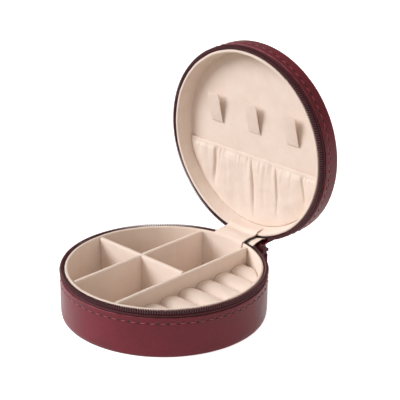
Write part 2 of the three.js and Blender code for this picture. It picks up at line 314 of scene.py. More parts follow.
def leatherMaterial(name, holes=False):
    look = leatherLook
    material, tree, principled = newMaterial(name, Roughness=look["roughness"], Specular_IOR_Level=0.24)
    here = node(tree, "ShaderNodeTexCoord").outputs["Object"]
    cells = node(tree, "ShaderNodeTexVoronoi", {"Vector": here, "Scale": 1 / look["grain"], "Randomness": 0.9},
                 feature="SMOOTH_F1").outputs["Distance"]
    pores = objectNoise(tree, here, 1 / look["poreSize"], 3.0)
    tone = objectNoise(tree, here, 1 / look["toneSize"], 3.0, 0.6)
    colour = mixColour(tree, ramp(tree, tone, 0.3, 0.7), look["deep"], look["colour"])
    colour = mixColour(tree, ramp(tree, cells, 0.2, 0.75, 0.0, 0.07), colour, look["wearAndHighlight"])
    # painted highlight mixed with edge wear: sharp convex edges are painted lighter
    edge = node(tree, "ShaderNodeNewGeometry").outputs["Pointiness"]
    colour = mixColour(tree, ramp(tree, edge, 0.53, 0.6, 0.0, 0.6), colour, look["wearAndHighlight"])
    layers = [(cells, 0.10 * mm, 0.30), (pores, 0.06 * mm, 0.25)]
    if holes:   # needle holes sit where u is a whole number and v is zero
        flat = node(tree, "ShaderNodeUVMap", uv_map="flat").outputs["UV"]
        parts = node(tree, "ShaderNodeSeparateXYZ", {"Vector": flat})
        along = mathNode(tree, "PINGPONG", parts.outputs["X"], 0.5)
        apart = mathNode(tree, "SQRT", mathNode(tree, "ADD", mathNode(tree, "MULTIPLY", along, along),
                         mathNode(tree, "MULTIPLY", parts.outputs["Y"], parts.outputs["Y"])))
        hole = ramp(tree, apart, look["stitchHoles"], look["stitchHoles"] * 0.45)
        groove = ramp(tree, mathNode(tree, "ABSOLUTE", parts.outputs["Y"]), 0.0, look["grooveHalf"])
        # the needle holes are painted near-black: painted shade inside the holes
        colour = mixColour(tree, hole, colour, look["holeShade"])
        # painted highlight: the leather is painted lighter along its folded top edge, in patches, where light
        # catches the fold
        lip = ramp(tree, parts.outputs["Y"], look["foldLine"] - 0.05, look["foldLine"])
        foldPatches = ramp(tree, objectNoise(tree, here, 1 / look["foldPatchSize"], 3.0), 0.3, 0.65, 0.25, 0.9)
        colour = mixColour(tree, mathNode(tree, "MULTIPLY", lip, foldPatches), colour, look["wearAndHighlight"])
        layers.append((mathNode(tree, "SUBTRACT", groove, hole), 0.25 * mm, 0.6))
    tree.links.new(colour, principled.inputs["Base Color"])
    rough = mathNode(tree, "ADD", ramp(tree, tone, 0.3, 0.7, -0.05, 0.08), look["roughness"])
    tree.links.new(rough, principled.inputs["Roughness"])
    bumpChain(tree, principled, *layers)
    return material


liningLook = dict(colour=tint(230, 215, 204), shade=tint(225, 206, 193), nap=0.35 * mm,
                  brushSize=7 * mm, broadSize=30 * mm)


def liningMaterial(name, shift=1.0):
    look = liningLook
    material, tree, principled = newMaterial(
        name, Roughness=0.95, Sheen_Weight=0.25, Sheen_Roughness=0.5, Specular_IOR_Level=0.15)
    principled.inputs["Sheen Tint"].default_value = look["colour"]
    here = node(tree, "ShaderNodeTexCoord").outputs["Object"]
    nap = objectNoise(tree, here, 1 / look["nap"], 4.0, 0.7)
    brushed = objectNoise(tree, here, 1 / look["brushSize"], 3.0, 0.6)
    broad = objectNoise(tree, here, 1 / look["broadSize"], 2.0)
    colour = mixColour(tree, ramp(tree, brushed, 0.3, 0.7), look["shade"], look["colour"])
    colour = mixColour(tree, ramp(tree, nap, 0.35, 0.65, 0.0, 0.25), colour, tuple(
        min(1.0, c * 1.12) for c in look["colour"][:3]) + (1,))
    colour = mixColour(tree, ramp(tree, broad, 0.35, 0.65, 0.0, 0.3), colour, tuple(
        c * k for c, k in zip(look["colour"][:3], (shift, shift * 0.985, shift * 0.97))) + (1,))
    tree.links.new(colour, principled.inputs["Base Color"])
    bumpChain(tree, principled, (nap, 0.10 * mm, 0.5), (brushed, 0.25 * mm, 0.25))
    return material


tapeLook = dict(colour=tint(102, 31, 44), dark=tint(66, 17, 28), rib=0.55 * mm, zigzag=1.1 * mm,
                fuzzSize=0.25 * mm)


def tapeMaterial(name):
    look = tapeLook
    material, tree, principled = newMaterial(name, Roughness=0.8, Sheen_Weight=0.15, Specular_IOR_Level=0.25)
    flat = node(tree, "ShaderNodeUVMap", uv_map="flat").outputs["UV"]
    parts = node(tree, "ShaderNodeSeparateXYZ", {"Vector": flat})
    zigzag = mathNode(tree, "PINGPONG", parts.outputs["Y"], look["zigzag"])
    slant = mathNode(tree, "ADD", parts.outputs["X"], zigzag)
    rib = mathNode(tree, "SINE", mathNode(tree, "MULTIPLY", slant, 2 * math.pi / look["rib"]))
    here = node(tree, "ShaderNodeTexCoord").outputs["Object"]
    fuzz = objectNoise(tree, here, 1 / look["fuzzSize"], 3.0)
    colour = mixColour(tree, ramp(tree, rib, -1.0, 1.0), look["dark"], look["colour"])
    colour = mixColour(tree, ramp(tree, fuzz, 0.3, 0.7, 0.0, 0.35), colour, look["dark"])
    tree.links.new(colour, principled.inputs["Base Color"])
    bumpChain(tree, principled, (rib, 0.10 * mm, 0.5), (fuzz, 0.05 * mm, 0.3))
    return material


def plainMaterial(name, colour, deep, roughness, size, metallic=0.0, depth=0.04):
    material, tree, principled = newMaterial(name, Roughness=roughness, Metallic=metallic)
    here = node(tree, "ShaderNodeTexCoord").outputs["Object"]
    spots = objectNoise(tree, here, 1 / size, 3.0)
    tone = mixColour(tree, ramp(tree, spots, 0.3, 0.7), deep, colour)
    tree.links.new(tone, principled.inputs["Base Color"])
    rough = ramp(tree, spots, 0.3, 0.7, roughness - 0.06, roughness + 0.08)
    tree.links.new(rough, principled.inputs["Roughness"])
    bumpChain(tree, principled, (spots, depth * mm, 0.4))
    return material


leather = leatherMaterial("burgundy_leather")
stitchedLeather = leatherMaterial("burgundy_leather_stitched", holes=True)
lining = liningMaterial("cream_lining")
pocketCloth = liningMaterial("cream_pocket_cloth", 1.03)
zipTape = tapeMaterial("zip_tape_weave")
coilNylon = plainMaterial("zip_coil_nylon", tint(98, 40, 48), tint(62, 21, 29), 0.55, 1.5 * mm)
# near-black: on the cord it stands for painted shade between the coil's loops
cordCloth = plainMaterial("zip_cord", tint(34, 8, 14), tint(22, 5, 9), 0.9, 0.3 * mm)
coilThread = plainMaterial("zip_sewing_thread", tint(60, 20, 28), tint(40, 12, 18), 0.7, 0.3 * mm)
thread = plainMaterial("burgundy_thread", tint(176, 98, 108), tint(132, 58, 70), 0.6, 0.3 * mm)
creamThread = plainMaterial("cream_thread", tint(226, 204, 186), tint(202, 176, 156), 0.8, 0.3 * mm)
enamel = plainMaterial("dark_enamel", tint(74, 26, 34), tint(52, 16, 24), 0.3, 2 * mm, metallic=0.6)
greyBoard = plainMaterial("grey_board", tint(170, 156, 138), tint(140, 128, 112), 0.9, 0.6 * mm)
wadding = plainMaterial("wadding", tint(232, 230, 224), tint(212, 208, 200), 1.0, 0.8 * mm)
print("materials made")


# repeated pieces: one Geometry Nodes tree that sets copies of a shape along a path
def repeatTree():
    tree = bpy.data.node_groups.new("repeatAlongPath", "GeometryNodeTree")
    face = tree.interface
    for name, kind in (("Path", "Object"), ("Shape", "Object"), ("Count", "Int"), ("Lean", "Float"),
                       ("Wobble", "Float"), ("Seed", "Int"), ("Finish", "Material")):
        face.new_socket(name=name, in_out="INPUT", socket_type="NodeSocket" + kind)
    face.new_socket(name="Geometry", in_out="OUTPUT", socket_type="NodeSocketGeometry")
    given = tree.nodes.new("NodeGroupInput").outputs
    path = node(tree, "GeometryNodeObjectInfo", {"Object": given["Path"]}).outputs["Geometry"]
    shape = node(tree, "GeometryNodeObjectInfo", {"Object": given["Shape"]}).outputs["Geometry"]
    curve = node(tree, "GeometryNodeMeshToCurve", {"Mesh": path}).outputs["Curve"]
    spots = node(tree, "GeometryNodeCurveToPoints", {"Curve": curve, "Count": given["Count"]}, mode="COUNT")
    facing = node(tree, "GeometryNodeInputNamedAttribute", {"Name": "facing"}, data_type="FLOAT_VECTOR")
    alongPath = node(tree, "FunctionNodeAlignRotationToVector", {"Vector": spots.outputs["Tangent"]}, axis="X")
    upright = node(tree, "FunctionNodeAlignRotationToVector",
                   {"Rotation": alongPath.outputs[0], "Vector": facing.outputs["Attribute"]},
                   axis="Z", pivot_axis="X")
    jitter = node(tree, "FunctionNodeRandomValue", {"Seed": given["Seed"]}, data_type="FLOAT")
    jitter.inputs[2].default_value, jitter.inputs[3].default_value = -1.0, 1.0
    swing = node(tree, "ShaderNodeMath", {0: jitter.outputs[1], 1: given["Wobble"], 2: given["Lean"]},
                 operation="MULTIPLY_ADD")
    turn = node(tree, "ShaderNodeCombineXYZ", {"Z": swing.outputs[0]})
    asTurn = node(tree, "FunctionNodeEulerToRotation", {"Euler": turn.outputs[0]})
    both = node(tree, "FunctionNodeRotateRotation", {"Rotation": upright.outputs[0],
                "Rotate By": asTurn.outputs[0]}, rotation_space="LOCAL")
    copies = node(tree, "GeometryNodeInstanceOnPoints", {"Points": spots.outputs["Points"],
                  "Instance": shape, "Rotation": both.outputs[0]})
    whole = node(tree, "GeometryNodeRealizeInstances", {"Geometry": copies.outputs[0]})
    painted = node(tree, "GeometryNodeSetMaterial", {"Geometry": whole.outputs[0], "Material": given["Finish"]})
    end = tree.nodes.new("NodeGroupOutput")
    tree.links.new(painted.outputs[0], end.inputs["Geometry"])
    return tree


repeater = repeatTree()


def repeatAlong(name, points, facings, cyclic, shape, count, material, lean=0.0, wobble=0.0, seed=1):
    mesh = bpy.data.meshes.new(name + "Path")
    edges = [(i, i + 1) for i in range(len(points) - 1)] + ([(len(points) - 1, 0)] if cyclic else [])
    mesh.from_pydata(points, edges, [])
    mesh.attributes.new("facing", "FLOAT_VECTOR", "POINT").data.foreach_set(
        "vector", [c for f in facings for c in f])
    path = link(name + "Path", mesh)
    host = link(name, bpy.data.meshes.new(name))
    modifier = host.modifiers.new("repeat", "NODES")
    modifier.node_group = repeater
    values = {"Path": path, "Shape": shape, "Count": count, "Lean": lean, "Wobble": wobble,
              "Seed": seed, "Finish": material}
    for item in repeater.interface.items_tree:
        if item.in_out == "INPUT":
            modifier[item.identifier] = values[item.name]
    bpy.context.view_layer.update()
    applied(host)
    bpy.data.objects.remove(path)
    host.data.shade_smooth()
    return host


def threadShape(length, radius, sides=6, steps=6):
    # one stitch along X: it rises from its needle hole, lies on the leather and dips again
    rows = []
    for i in range(steps + 1):
        t = i / steps * 2 - 1
        rise = radius * (0.9 - 1.9 * t ** 4)
        size = radius * math.sqrt(max(0.05, 1 - abs(t) ** 6))
        rows.append([Vector((t * length / 2, size * math.cos(a), rise + size * math.sin(a) * 0.8))
                     for a in (2 * math.pi * k / sides for k in range(sides))])
    obj = gridMesh("threadShape", rows, lambda i, j: (i / steps, j / sides), wrapV=True, caps=True)
    return finishMesh(obj)


def coilShape(reach, height, wire, sides=5, steps=10, lean=0.18 * mm):
    # one loop of the coil, standing across the path: Z is outwards, Y along the wall
    rows = []
    for i in range(steps):
        a = 2 * math.pi * i / steps
        middle = Vector((lean * math.sin(a), (height / 2 - wire) * math.sin(a),
                         (reach / 2 - wire) * math.cos(a)))
        out = Vector((0, math.sin(a), math.cos(a)))
        rows.append([middle + out * wire * math.cos(b) + Vector((1, 0, 0)) * wire * math.sin(b)
                     for b in (2 * math.pi * k / sides for k in range(sides))])
    obj = gridMesh("coilShape", rows, lambda i, j: (i / steps, j / sides), wrapU=True, wrapV=True)
    return finishMesh(obj)


def circlePath(radius, height, turn=still, start=None, end=None, steps=240):
    whole = start is None
    begin, sweep = (0, 2 * math.pi) if whole else (start, end - start)
    angles = [begin + sweep * i / steps for i in range(steps if whole else steps + 1)]
    points = [turn @ Vector((radius * math.cos(a), radius * math.sin(a), height)) for a in angles]
    facings = [turn.to_3x3() @ Vector((math.cos(a), math.sin(a), 0)) for a in angles]
    return points, facings, whole


def fitPadding(obj, body, fill, *nodes):
    place(obj, body, "lining", lining, *nodes)


# leather shells
shell = dict(wall=0.9 * mm, foldRadius=0.42 * mm, footRadius=1.7 * mm, bulge=0.18 * mm,
             stitchDrop=3.0 * mm, stitches=68, threadLength=2.7 * mm, threadRadius=0.24 * mm,
             firstStitch=23, lastStitch=81,   # none behind the hinge strap
             turnIn=3.6 * mm, footRise=2.6 * mm, lidTurnIn=3.2 * mm,
             bottomGap=3.4 * mm, coverGap=3.35 * mm, edgeStep=0.3 * mm,
             rowSpacing=1.6 * mm, uneven=0.05 * mm, unevenSize=9 * mm)


def stitchedFlat(outline, stitchLine, pitchLength, rimward):
    # u counts stitches round the case, v runs from the stitch line towards the leather's edge
    def flat(i, j):
        return (i / roundSteps * shell["stitches"],
                rimward * (outline[j % len(outline)][1] - stitchLine) / pitchLength)
    return flat


def buildShells():
    wall, outer = shell["wall"], caseRadius
    bend, turnIn, rise = shell["foldRadius"], shell["turnIn"], shell["footRise"]
    pitchLength = 2 * math.pi * caseRadius / shell["stitches"]
    half = leatherTop * 0.5
    # base: wall of the base, turned in over the foot and folded in at its top edge
    outline = rounded([
        (outer - turnIn, 0.02 * mm), (outer - shell["footRadius"] * 0.3, 0), (outer, rise),
        (outer + shell["bulge"] * 0.4, half), (outer, leatherTop), (outer - wall, leatherTop),
        (outer - wall, rise), (outer - wall - 1.2 * mm, wall), (outer - turnIn, wall),
    ], [0.2 * mm, shell["footRadius"], 1.2 * mm, 4 * mm, bend, bend, 0.8 * mm, 0.5 * mm, 0.2 * mm], 6)
    dense = subdivided(outline, shell["rowSpacing"])
    stitchLine = leatherTop - shell["stitchDrop"]
    base = turned("baseLeather", dense, flat=stitchedFlat(dense, stitchLine, pitchLength, 1))
    relief(base, shell["uneven"], shell["unevenSize"], 3.1, 2)
    place(base, "base", "leather", stitchedLeather, "base_leather_band")

    bottomRadius, edge = outer - shell["bottomGap"], shell["edgeStep"]
    bottom = turned("baseBottomLeather", [
        (0, 0.05 * mm), (bottomRadius - 1 * mm, 0.05 * mm), (bottomRadius - edge, 0.15 * mm),
        (bottomRadius, 0.5 * mm), (bottomRadius - edge, 0.85 * mm), (0, 0.85 * mm)], closed=False)
    place(bottom, "base", "leather", leather, "base_bottom_leather")

    # lid: wall and top in one skin with a soft edge, and a low crown
    low, top = lidLeatherLow, lidTop
    lidOutline = rounded([
        (outer - wall, low), (outer, low), (outer, low + 3 * mm), (outer, top - 1.6 * mm),
        (outer - shell["footRadius"], top), (outer - shell["lidTurnIn"], top),
        (outer - shell["lidTurnIn"], top - wall), (outer - wall, top - 2 * mm),
    ], [bend, bend, 1 * mm, 1.2 * mm, 1.2 * mm, 0.3 * mm, 0.3 * mm, 0.6 * mm], 6)
    lidStitch = low + shell["stitchDrop"]
    dense = subdivided(lidOutline, shell["rowSpacing"])
    lidBand = turned("lidLeather", dense, turn=openTurn, flat=stitchedFlat(dense, lidStitch, pitchLength, -1))
    relief(lidBand, shell["uneven"], shell["unevenSize"], 7.7, 2)
    place(lidBand, "lid", "leather", stitchedLeather, "lid_leather_band")

    topRadius = outer - shell["coverGap"]
    crown = closedBox("lid_top_leather")[1].z
    cover = turned("lidTopLeather", [
        (0, top - wall), (topRadius, top - wall), (topRadius, top - 0.25 * mm),
        (topRadius - 0.5 * mm, top + 0.05 * mm), (topRadius * 0.9, top + 0.3 * mm),
        (topRadius * 0.7, crown - 0.05 * mm), (topRadius * 0.35, crown), (0, crown),
    ], turn=openTurn, closed=False)
    relief(cover, 0.06 * mm, 14 * mm, 1.3, 2)
    place(cover, "lid", "leather", leather, "lid_top_leather")

    # stitch threads, left out behind the hinge strap
    stitch = threadShape(shell["threadLength"], shell["threadRadius"])
    step = 2 * math.pi / shell["stitches"]
    first, last = shell["firstStitch"], shell["lastStitch"]
    for name, body, height, turn in (("baseStitches", "base", stitchLine, still),
                                     ("lidStitches", "lid", lidStitch, openTurn)):
        points, facings, whole = circlePath(outer + 0.02 * mm, height, turn,
                                            (first + 0.5) * step, (last + 0.5) * step)
        threads = repeatAlong(name, points, facings, whole, stitch, last - first + 1, thread, lean=0.07,
                              wobble=0.05, seed=4)
        place(threads, body, "leather", thread)
    bpy.data.objects.remove(stitch)
    print("leather shells made")


# zip
zipper = dict(
    pitch=1.3 * mm, wire=0.41 * mm, reach=2.2 * mm, height=3.0 * mm, proud=0.2 * mm,
    bulge=dict(base=0.3 * mm, lid=-0.08 * mm), tapeThick=0.45 * mm, tapeRadius=0.5 * mm,
    tapeIn=1.25 * mm, tapeOut=0.3 * mm, backGap=0.1 * mm,
    cordDrop=0.45 * mm, cordHalf=0.45 * mm, cordIn=0.55 * mm, cordOut=0.5 * mm,
    seamRadius=0.13 * mm, seamProud=0.02 * mm, seamDrop=0.35 * mm,
    tailWidth=1.3 * mm, tailDrop=0.4 * mm, tailIn=2.3 * mm, tailOut=1.3 * mm, tailAngles=(69, 79),
)


def buildZip():
    wire, t = zipper["wire"], zipper["tapeThick"]
    start, end = zipLeft, zipRight + 2 * math.pi
    for side, rim, turn, sign in (("base", baseRim, still, 1), ("lid", lidRim, openTurn, -1)):
        bulge = zipper["bulge"][side]
        coilRadius = caseRadius + bulge - zipper["reach"] / 2
        # tape: from behind the leather's edge, then inside the coil up to the rim
        leatherEdge = leatherTop if sign > 0 else lidLeatherLow
        under = rim - sign * (zipper["height"] - zipper["proud"])
        low, out = caseRadius - zipper["tapeIn"], caseRadius - zipper["tapeOut"]
        back = caseRadius + bulge - zipper["reach"] - zipper["backGap"]
        spine = [(low, leatherEdge - sign * 4 * mm), (low, leatherEdge + sign * 0.3 * mm),
                 (out, leatherEdge + sign * 1.1 * mm), (out, under - sign * 0.15 * mm),
                 (back, under + sign * 0.5 * mm), (back, rim - sign * 1.2 * mm)]
        outline = [(r + t / 2, z) for r, z in spine] + [(r - t / 2, z) for r, z in reversed(spine)]
        outline = rounded(outline, zipper["tapeRadius"], 4)
        tape = turned(side + "ZipTape", outline, turn=turn, start=start, end=end)
        place(tape, side, "zip_tape", zipTape, "zip_tape_" + side)
        # coil
        loop = coilShape(zipper["reach"], zipper["height"], wire)
        height = rim - sign * (zipper["height"] / 2 - zipper["proud"])
        points, facings, whole = circlePath(coilRadius, height, turn, start, end)
        count = int((end - start) * coilRadius / zipper["pitch"])
        coil = repeatAlong(side + "ZipCoil", points, facings, whole, loop, count, coilNylon)
        place(coil, side, "zip_coil", coilNylon, "zip_coil_" + side)
        bpy.data.objects.remove(loop)
        # cord that the coil is wound round, seen between its loops; the cord is real, its near-black colour is
        # painted shade in the gaps between the loops
        cordDrop = sign * zipper["cordDrop"]
        core = turned(side + "ZipCord", rounded(rectangle(
            coilRadius - zipper["cordIn"], coilRadius + zipper["cordOut"],
            height - zipper["cordHalf"] - cordDrop, height + zipper["cordHalf"] - cordDrop),
            0.3 * mm, 3), turn=turn, start=start, end=end)
        place(core, side, "zip_tape", cordCloth)
        # sewing thread across the middle of the loops
        sewing = threadShape(zipper["pitch"] * 0.8, zipper["seamRadius"])
        points, facings, whole = circlePath(caseRadius + bulge + zipper["seamProud"],
                                            height - sign * zipper["seamDrop"], turn, start, end)
        seam = repeatAlong(side + "ZipSewing", points, facings, whole, sewing, count, coilThread, lean=0.25,
                           seed=2)
        place(seam, side, "zip_coil", coilThread)
        bpy.data.objects.remove(sewing)
        # narrow tape tail that runs on to the hinge strip
        tailStart, tailEnd = (math.radians(angle) for angle in zipper["tailAngles"])
        tail = turned(side + "ZipTail", rounded(rectangle(
            caseRadius - zipper["tailIn"], caseRadius - zipper["tailOut"],
            rim - sign * (zipper["tailDrop"] + zipper["tailWidth"]), rim - sign * zipper["tailDrop"]),
            0.15 * mm, 2), turn=turn, start=tailStart, end=tailEnd, steps=24)
        place(tail, side, "zip_tape", cordCloth)
        # crimped metal stop: a small clamp with rounded corners
        stop = bevelledNode("zip_stop_" + side, side + "ZipStop", 0.25 * mm, 0.02, 30, None)
        place(stop, side, "zip_metal", enamel, "zip_stop_" + side)
    print("zip made")


# linings
padding = dict(lip=53.1 / 57.5, lipOut=54.95 / 57.5,   # shares of the case's radius
               lipHeight=1.5 * mm, lipDrop=0.4 * mm, foot=1.0 * mm, uneven=0.10 * mm, unevenSize=8 * mm,
               swayReach=3 * mm, sway=0.35 * mm, swayDrop=0.6 * mm, panelCrown=0.7 * mm, fill=0.9)


def buildLinings():
    for name, body, rim, far, turn, sign, replaced in (
            ("baseLining", "base", baseRim, liningBottom, still, 1, "base_side_lining"),
            ("lidLining", "lid", lidRim, closedBox("lid_side_lining")[1].z, openTurn, -1, "lid_side_lining")):
        rim = rim - sign * padding["lipDrop"]
        lip = rim - sign * padding["lipHeight"]
        inner, outer = caseRadius * padding["lip"], caseRadius * padding["lipOut"]
        foot = innerRadius + 0.1 * mm - (padding["foot"] if sign < 0 else 0)
        # each corner as (radius from the case's axis, height, how far it is rounded)
        corners = [(foot, far, 0.1 * mm), ((inner + foot) / 2 - 0.1 * mm, (far + rim) / 2, 4 * mm),
                   (inner, rim - sign * 1.6 * mm, 1 * mm), (inner + 0.15 * mm, rim, 0.8 * mm),
                   (outer, rim, 0.8 * mm), (outer, lip, 0.3 * mm), (inner + 0.8 * mm, lip, 0.3 * mm),
                   (foot + 1.2 * mm, far, 0.1 * mm)]
        outline = rounded([corner[:2] for corner in corners], [corner[2] for corner in corners], 6)

        def settle(a, r, z, rim=rim, sign=sign):
            near = max(0.0, 1 - abs(rim - z) / padding["swayReach"])
            sway = 0.12 * math.sin(7 * a + 1) + 0.08 * math.sin(17 * a + sign)
            return r + sway * padding["sway"] * near, z - sign * abs(sway) * padding["swayDrop"] * near
        piece = turned(name, outline, turn=turn, wave=settle)
        relief(piece, padding["uneven"], padding["unevenSize"], 2.0 + sign, 2)
        fitPadding(piece, body, padding["fill"], replaced)
    pad = turned("baseFloorPad", rounded([
        (0, liningBottom), (innerRadius, liningBottom), (innerRadius, floorTop), (0, floorTop)],
        [0, 0.3 * mm, 0.8 * mm, 0], 5), closed=False)
    fitPadding(pad, "base", padding["fill"], "base_floor_pad")
    low, high = closedBox("lid_panel")
    crown = padding["panelCrown"]
    panel = turned("lidPanel", rounded([
        (0, high.z), (innerRadius, high.z), (innerRadius, low.z), (innerRadius * 0.93, low.z - crown * 0.35),
        (innerRadius * 0.6, low.z - crown * 0.8), (0, low.z - crown)],
        [0, 0.3 * mm, 0.9 * mm, 2 * mm, 8 * mm, 0], 6)[::-1], turn=openTurn, closed=False)
    relief(panel, 0.12 * mm, 20 * mm, 5.5, 2)
    fitPadding(panel, "lid", padding["fill"], "lid_panel")
    print("linings made")


# dividers: card covered with the lining, rounded along the top
divider = dict(topRadius=1.25 * mm, uneven=0.10 * mm, unevenSize=9 * mm, rowSpacing=2 * mm,
               tuck=0.1 * mm, endReach=3 * mm, slotGap=0.15 * mm, columns=60)


def dividerPiece(nodeName, alongY):
    low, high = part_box(nodeName)
    half = (high.x - low.x if alongY else high.y - low.y) / 2
    centre = (low.x + high.x) / 2 if alongY else (low.y + high.y) / 2
    begin, end = (low.y, high.y) if alongY else (low.x, high.x)
    section = rounded(rectangle(-half, half, low.z, high.z),
                      [0.2 * mm, 0.2 * mm, divider["topRadius"], divider["topRadius"]], 6)
    tall = subdivided(section, divider["rowSpacing"])
    steps = divider["columns"]
    rows = []
    for i in range(steps + 1):
        t = i / steps
        row = []
        for across, z in tall:
            # ends follow the round side lining
            reach = math.sqrt(max(0, innerRadius ** 2 - (centre + across) ** 2)) + divider["tuck"]
            first = -reach if abs(begin + reach) < divider["endReach"] else begin
            last = reach if abs(end - reach) < divider["endReach"] else end
            spot = first + (last - first) * t
            row.append(Vector((centre + across, spot, z)) if alongY else Vector((spot, centre + across, z)))
        rows.append(row)
    obj = gridMesh(nodeName + "Covered", rows, lambda i, j: (i / steps * (end - begin), j * mm), wrapV=True,
                   caps=True)
    finishMesh(obj)
    relief(obj, divider["uneven"], divider["unevenSize"], centre * 100, 2)
    return obj


def cutSlot(obj, low, high):
    tool = link("slotTool", bpy.data.meshes.new("slotTool"))
    bm = bmesh.new()
    bmesh.ops.create_cube(bm, size=1)
    for v in bm.verts:
        v.co = Vector([low[k] + (v.co[k] + 0.5) * (high[k] - low[k]) for k in range(3)])
    bm.to_mesh(tool.data)
    bm.free()
    cut = obj.modifiers.new("slot", "BOOLEAN")
    cut.object, cut.operation, cut.solver = tool, "DIFFERENCE", "EXACT"
    bpy.context.view_layer.update()
    applied(obj)
    bpy.data.objects.remove(tool)
    obj.data.set_sharp_from_angle(angle=math.radians(48))


def buildDividers():
    longBox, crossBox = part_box("long_divider"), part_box("cross_divider")
    middle = (longBox[0].z + longBox[1].z) / 2
    gap = divider["slotGap"]
    wall = dividerPiece("ring_wall", True)
    lengthwise = dividerPiece("long_divider", True)
    crosswise = dividerPiece("cross_divider", False)
    cutSlot(lengthwise, (-1, crossBox[0].y - gap, middle - gap), (1, crossBox[1].y + gap, 1))
    cutSlot(crosswise, (longBox[0].x - gap, -1, -1), (longBox[1].x + gap, 1, middle))
    for obj, source in ((wall, "ring_wall"), (lengthwise, "long_divider"), (crosswise, "cross_divider")):
        fitPadding(obj, "base", 1.0, source)
    print("dividers made")


# ring rolls
roll = dict(grow=0.36 * mm, squareness=2.5, uneven=0.14 * mm, unevenSize=6 * mm, sink=0.2 * mm,
            tuck=0.3 * mm, shortest=8 * mm, endPinch=0.10, sides=48, columns=36, fill=0.8)


def buildRolls():
    number = sum(1 for n in frame["nodes"] if n.startswith("ring_roll_"))
    whole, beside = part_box("ring_roll_4"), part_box("ring_roll_3")
    twoPitches = (whole[0] + whole[1] - beside[0] - beside[1]).y
    radius = (whole[1].z - whole[0].z) / 2 + roll["grow"]
    z = whole[0].z + radius - roll["sink"]
    sides, steps, power = roll["sides"], roll["columns"], 2 / roll["squareness"]
    for k in range(number):
        source = f"ring_roll_{k + 1}"
        low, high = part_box(source)
        y = (low.y + high.y) / 2
        if k in (0, number - 1):   # the end rolls are cut by the round wall, so their centre is a pitch further
            y = (k - (number - 1) / 2) * twoPitches / 2
        rows = []
        for i in range(steps + 1):
            t = i / steps
            puff = 1 - roll["endPinch"] * (abs(2 * t - 1) ** 9)
            row = []
            for j in range(sides):
                a = 2 * math.pi * j / sides
                c, s = math.cos(a), math.sin(a)
                dy = radius * math.copysign(abs(c) ** power, c) * puff
                dz = radius * math.copysign(abs(s) ** power, s) * puff
                last = math.sqrt(max(roll["shortest"] ** 2,
                                     (innerRadius + roll["tuck"]) ** 2 - (y + dy) ** 2))
                row.append(Vector((low.x + (last - low.x) * t, y + dy, z + dz)))
            rows.append(row)
        piece = gridMesh(f"ringRoll{k + 1}", rows, lambda i, j: (i * mm, j * mm), wrapV=True, caps=True)
        finishMesh(piece, 60)
        relief(piece, roll["uneven"], roll["unevenSize"], 11 + k * 3.3, 2)
        fitPadding(piece, "base", roll["fill"], source)
    print("ring rolls made")


# lid fittings
pocket = dict(top=9.6 * mm, casing=3.4 * mm, thick=0.35 * mm, gathers=64, seed=11,
              casingRise=1.25 * mm, casingPuff=0.22 * mm, backGap=0.25 * mm, leastGap=0.15 * mm,
              seamInset=0.7 * mm, uneven=0.20 * mm, unevenSize=7 * mm, columns=320, rows=56,
              flatLength=42 * mm, fullness=1.5,   # cloth width before gathering, against its finished width
              creases=[(-31.0, 1.5, 0.05, 1.1), (-1.5, 1.45, 0.30, 1.0), (17.5, 1.1, 0.10, 0.8),
                       (36.0, 0.9, 0.45, 0.6), (-20.0, 0.35, -0.2, 1.6), (8.0, 0.3, 0.2, 1.5)])
elastic = dict(half=1.3 * mm, halfThick=0.3 * mm, stand=0.75 * mm, endGap=2 * mm, columns=60)
dice = random.Random(pocket["seed"])
# each gather: place, half width, depth, how far down it reaches, lean
gathers = [(dice.uniform(-50, 50), dice.uniform(0.35, 1.0), dice.uniform(0.12, 0.45), dice.uniform(0.06, 0.30),
            dice.uniform(-6, 6)) for _ in range(pocket["gathers"])]


def pocketDepth(x, t, span):
    # how far the cloth stands off the panel (mm) at x and t, from its top edge (0) to its seam (1)
    fade = min(1.0, span / (14 * mm))
    edge = math.sin(min(1.0, (1 - t) * 2.2) * math.pi / 2) * min(1.0, t * 4 + 0.35)
    sway = x + 2.0 * math.sin(t * 2.6 + x * 0.09)
    broad = 0.30 * math.sin(sway * 0.27 + 0.6 + t) + 0.15 * math.sin(sway * 0.61 + 2.4 - 2 * t)
    deep = 0.0
    for centre, depth, lean, width in pocket["creases"]:
        away = (x - centre - lean * 8 * t - 0.5 * math.sin(5 * t + centre)) / (0.45 * width + 1.1 * width * t)
        side = math.exp(-away * away) if away < 0 else math.exp(-abs(away) * 0.55)
        deep += depth * side * math.sin(min(1, t * 0.95 + 0.12) * math.pi) ** 0.8
    fine = 0.0
    for centre, width, depth, reach, lean in gathers:
        away = (x - centre - lean * t) / (width * (1 + 2.5 * t))
        if abs(away) < 3 and t < reach * 2.5:
            fine += depth * math.exp(-away * away) * math.exp(-(t / reach) ** 2)
    return (1.15 + 1.2 * edge * fade + broad * edge * fade
            - 1.25 * deep * edge * fade - 1.25 * fine * fade) * mm


